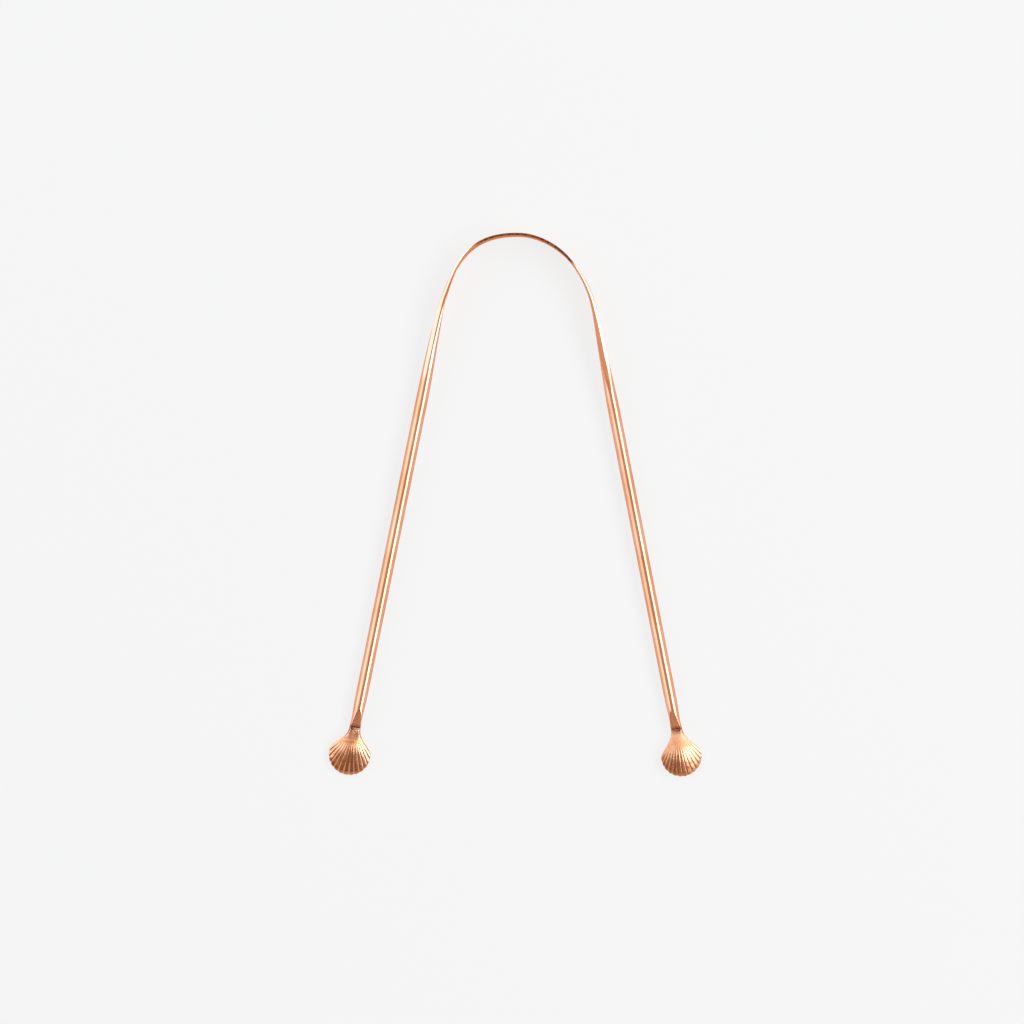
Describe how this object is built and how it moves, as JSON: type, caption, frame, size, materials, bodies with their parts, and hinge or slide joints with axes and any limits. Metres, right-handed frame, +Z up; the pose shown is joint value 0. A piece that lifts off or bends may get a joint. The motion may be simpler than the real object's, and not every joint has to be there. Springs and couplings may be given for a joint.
{
  "type": "tongue scraper",
  "caption": "Copper tongue scraper: a wire bow with a flattened scraping blade at its crown, springy round arms and a cast scallop-shell grip on the end of each arm.",
  "frame": {"origin": "on the table under the middle of the scraper as it lies, halfway along it and on its middle line", "axes": "+X to the right-hand arm, +Y from the shells to the blade, along the length, +Z up from the table, across the blade's width"},
  "size_m": [0.0966, 0.14, 0.0075],
  "materials": {
    "drawn_copper": null,
    "cast_copper": null,
    "braze_filler": "dull phosphor-copper braze, slightly oxidised"
  },
  "bodies": {
    "blade": {"scraping_blade": "drawn_copper"},
    "left_side": {"left_shoulder": "drawn_copper", "left_arm": "drawn_copper", "left_braze_seam": "braze_filler", "left_shell": "cast_copper"},
    "right_side": {"right_shoulder": "drawn_copper", "right_arm": "drawn_copper", "right_braze_seam": "braze_filler", "right_shell": "cast_copper"}
  },
  "joints": [
    {"name": "left_flex", "type": "hinge", "parent": "blade", "child": "left_side", "pos_m": [-0.0141, 0.06301, 0.0037], "axis": [0, -0.0162, 0.9999], "range_deg": [-6, 6], "stiffness_Nm_per_rad": 1.1},
    {"name": "right_flex", "type": "hinge", "parent": "blade", "child": "right_side", "pos_m": [0.0141, 0.06301, 0.0037], "axis": [0, -0.0162, 0.9999], "range_deg": [-6, 6], "stiffness_Nm_per_rad": 1.1}
  ]
}
